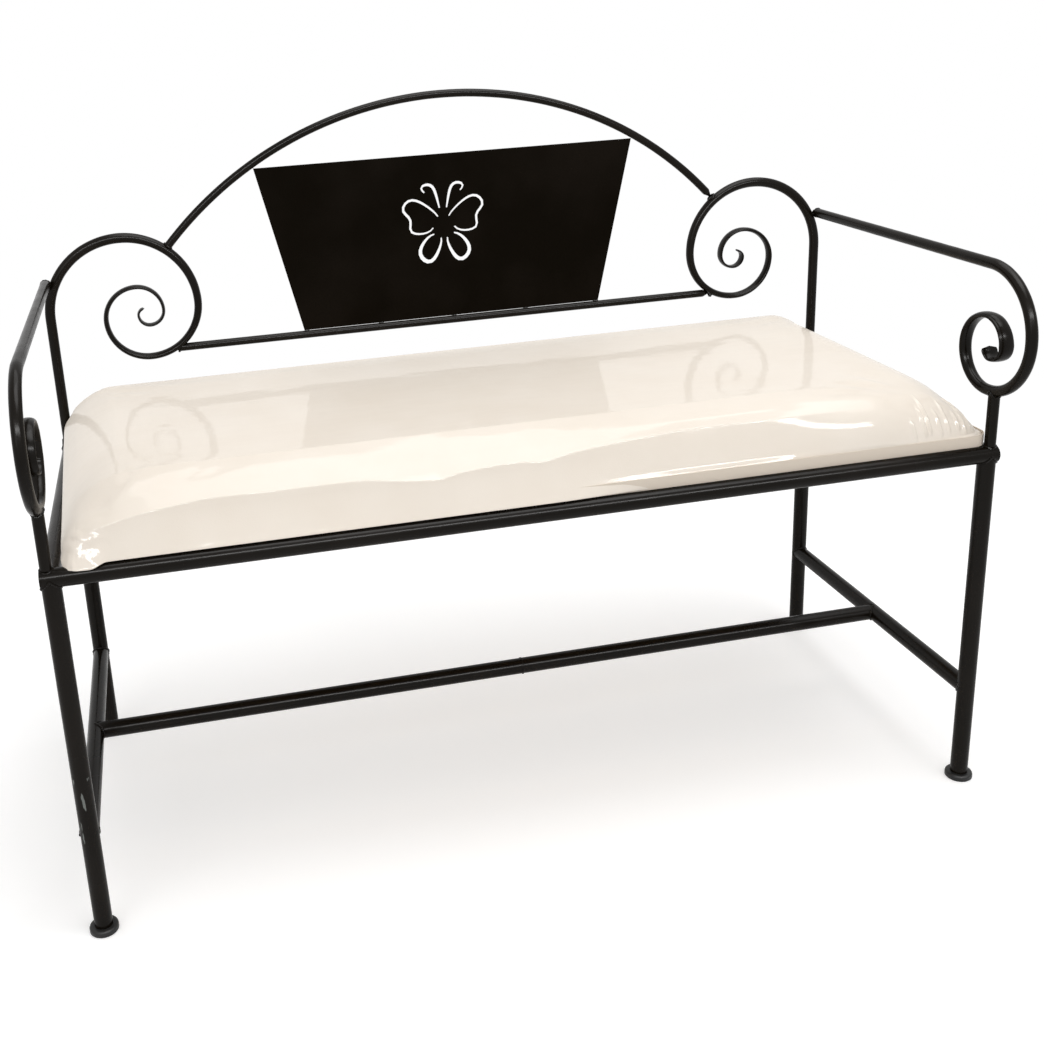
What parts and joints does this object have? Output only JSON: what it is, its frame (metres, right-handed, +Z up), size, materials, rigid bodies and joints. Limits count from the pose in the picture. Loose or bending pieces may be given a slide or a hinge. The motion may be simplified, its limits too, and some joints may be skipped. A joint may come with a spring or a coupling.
{
  "type": "bench",
  "caption": "Wrought iron bench with scrolled arms and back, an arched top rail over a butterfly-pierced panel, tube legs with stretchers and a padded seat.",
  "frame": {"origin": "on the floor under the middle of the bench's bounding box", "axes": "+Z up, +Y towards the back, +X to the right of someone who looks at the bench from the front"},
  "size_m": [1.011, 0.4608, 0.7952],
  "materials": {
    "enamel": "black gloss enamel on steel",
    "glide": "black moulded plastic",
    "cover": "cream woven cloth under clear glossy film",
    "board": "plain plywood"
  },
  "bodies": {
    "root": {"front_rail": "enamel", "rear_rail": "enamel", "rail_end_caps": "enamel", "side_rail_left": "enamel", "side_rail_right": "enamel", "side_stretcher_left": "enamel", "side_stretcher_right": "enamel", "centre_stretcher": "enamel", "front_leg_left": "enamel", "front_leg_right": "enamel", "rear_leg_left": "enamel", "rear_leg_right": "enamel", "leg_glides": "glide", "arm_left": "enamel", "back_scroll_left": "enamel", "arm_right": "enamel", "back_scroll_right": "enamel", "arm_posts": "enamel", "back_arch": "enamel", "lower_back_rail": "enamel", "back_panel": "enamel", "panel_tack_welds": "enamel", "seat_board": "board", "seat_pad": "cover"}
  },
  "joints": []
}
